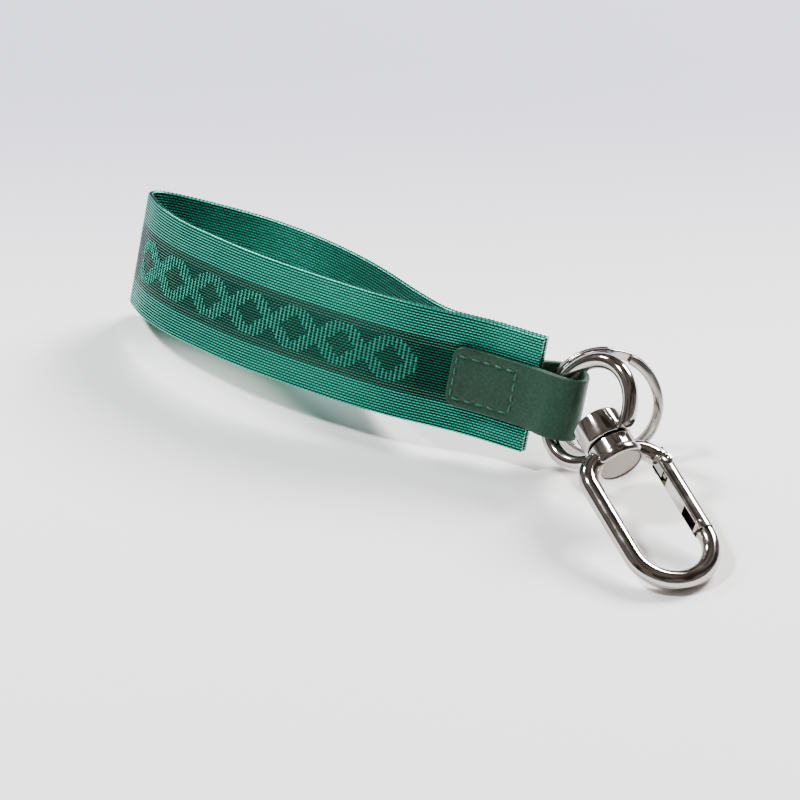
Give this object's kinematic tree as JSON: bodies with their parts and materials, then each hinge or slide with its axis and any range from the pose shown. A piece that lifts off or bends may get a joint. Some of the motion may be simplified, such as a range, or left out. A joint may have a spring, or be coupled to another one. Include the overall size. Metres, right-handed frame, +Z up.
{
  "type": "wrist lanyard",
  "caption": "Wrist lanyard: a folded loop of woven webbing with a sewn leather tab that holds a split key ring and a swivel hook with a sprung gate.",
  "frame": {"origin": "middle of the footprint, on the surface that the lanyard lies on", "axes": "+X along the strap from its fold to the hook, +Y towards the strap's back, +Z up"},
  "size_m": [0.185, 0.0522, 0.0384],
  "materials": {
    "webbing": "satin woven polyester",
    "leather": "smooth dyed leather, semi-gloss",
    "thread": "twisted polyester thread",
    "polished_nickel": "polished nickel plate on zinc alloy",
    "brushed_nickel": "fine brushed nickel plate",
    "spring_steel": "drawn spring steel"
  },
  "bodies": {
    "strap": {"webbing_strap": "webbing", "leather_tab": "leather", "stitch_thread_front": "thread", "stitch_thread_back": "thread"},
    "key_ring": {"split_key_ring": "polished_nickel"},
    "eye": {"eye_ring": "polished_nickel"},
    "hook": {"hook_body": "polished_nickel", "swivel_post": "polished_nickel", "swivel_cap": "brushed_nickel", "gate_pivot_pin": "polished_nickel"},
    "gate": {"gate": "polished_nickel", "latch_pin": "polished_nickel", "gate_spring": "spring_steel"},
    "plunger": {"gate_plunger": "spring_steel"}
  },
  "joints": [
    {"name": "key_ring_swing", "type": "hinge", "parent": "strap", "child": "key_ring", "pos_m": [0.03164, 0.00955, 0.01742], "axis": [0, 0.3256, 0.9455], "range_deg": [-6, 20]},
    {"name": "eye_ring_swing", "type": "hinge", "parent": "strap", "child": "eye", "pos_m": [0.03465, 0.00618, 0.01853], "axis": [0, 0.3256, 0.9455], "range_deg": [-7, 9]},
    {"name": "swivel_turn", "type": "hinge", "parent": "eye", "child": "hook", "pos_m": [0.05978, -0.00277, 0.01482], "axis": [0.8265, -0.4395, -0.3518], "continuous": true},
    {"name": "gate_open", "type": "hinge", "parent": "hook", "child": "gate", "pos_m": [0.06739, 0.00456, 0.01359], "axis": [-0.3107, 0.1652, -0.9361], "range_deg": [0, 25], "stiffness_Nm_per_rad": 0.02, "springref_deg": -28.65},
    {"name": "plunger_slide", "type": "slide", "parent": "gate", "child": "plunger", "axis": [0.8265, -0.4395, -0.3518], "range_m": [0, 0.0006], "deforming": ["gate_spring"]}
  ],
  "couplings": [
    {"joint": "plunger_slide", "follows": "gate_open", "m_per_rad": 0.00133}
  ]
}
